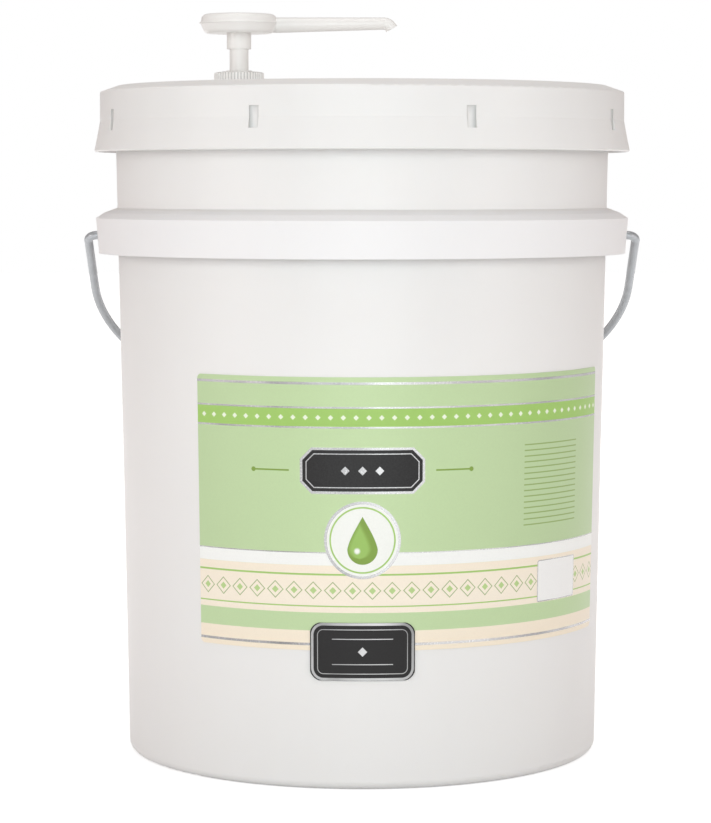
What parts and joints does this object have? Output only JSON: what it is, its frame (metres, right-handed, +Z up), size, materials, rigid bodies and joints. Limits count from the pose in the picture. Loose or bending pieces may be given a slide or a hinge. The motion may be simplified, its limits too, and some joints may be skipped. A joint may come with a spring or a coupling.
{
  "type": "pail with lid pump",
  "caption": "White drafted plastic pail with a label, a wire bail with a grip, a press-on lid and a press-down dispensing pump with spout and dip tube in the lid.",
  "frame": {"origin": "middle of the foot ring, on the surface that the pail stands on", "axes": "+Z up, -Y towards the front with the label, the pump on the -X side, the bail at rest on the +Y side"},
  "size_m": [0.3276, 0.3218, 0.4315],
  "materials": {
    "white_hdpe": "white moulded polyethylene, soft satin",
    "lid_hdpe": "white moulded polyethylene, soft satin",
    "label_film": "printed film, pale green with cream and white bands",
    "badge_film": "printed film, black with a silver border",
    "bail_steel": "zinc plated wire",
    "pump_plastic": "ivory white polypropylene, satin gloss",
    "barrel_plastic": "natural polypropylene",
    "piston_plastic": "white low density polyethylene",
    "seal_rubber": "soft elastomer",
    "seal_foam": "foamed polyethylene wad",
    "spring_steel": "stainless spring wire",
    "ball_steel": "polished stainless ball"
  },
  "bodies": {
    "pail": {"pail": "white_hdpe", "pail_rim": "white_hdpe", "label": "label_film", "label_badge": "badge_film"},
    "bail": {"bail_wire": "bail_steel"},
    "grip": {"bail_grip": "white_hdpe"},
    "lid": {"lid": "lid_hdpe", "lid_gasket": "seal_rubber"},
    "pump": {"pump_housing": "barrel_plastic", "pump_collar": "pump_plastic", "stem_seal": "seal_rubber", "spring_seat": "barrel_plastic", "return_spring": "spring_steel", "dip_tube": "barrel_plastic", "neck_gasket": "seal_foam"},
    "closure": {"pump_closure": "pump_plastic"},
    "inlet_ball": {"inlet_ball": "ball_steel"},
    "piston": {"piston": "piston_plastic"},
    "head": {"piston_stem": "pump_plastic", "head_body": "pump_plastic", "head_cap": "pump_plastic", "spout": "pump_plastic"},
    "outlet_ball": {"outlet_ball": "ball_steel"}
  },
  "joints": [
    {"name": "bail_swing", "type": "hinge", "parent": "pail", "child": "bail", "pos_m": [0, 0, 0.30205], "axis": [1, 0, 0], "range_deg": [0, 250]},
    {"name": "grip_turn", "type": "hinge", "parent": "bail", "child": "grip", "pos_m": [0, 0.15345, 0.1937], "axis": [1, 0, 0], "continuous": true},
    {"name": "lid_lift", "type": "slide", "parent": "pail", "child": "lid", "axis": [0, 0, 1], "range_m": [0, 0.38]},
    {"name": "pump_lift", "type": "slide", "parent": "lid", "child": "pump", "axis": [0, 0, 1], "range_m": [0, 0.39]},
    {"name": "closure_turn", "type": "hinge", "parent": "pump", "child": "closure", "pos_m": [-0.072, 0, 0.39], "axis": [0, 0, 1], "continuous": true},
    {"name": "inlet_lift", "type": "slide", "parent": "pump", "child": "inlet_ball", "axis": [0, 0, 1], "range_m": [0, 0.0018]},
    {"name": "pump_press", "type": "slide", "parent": "pump", "child": "piston", "axis": [0, 0, -1], "range_m": [0, 0.0115], "stiffness_N_per_m": 300, "springref_m": -0.02, "deforming": ["return_spring"]},
    {"name": "head_turn", "type": "hinge", "parent": "piston", "child": "head", "pos_m": [-0.072, 0, 0.425], "axis": [0, 0, 1], "continuous": true},
    {"name": "outlet_lift", "type": "slide", "parent": "head", "child": "outlet_ball", "axis": [0, 0, 1], "range_m": [0, 0.0015]}
  ]
}
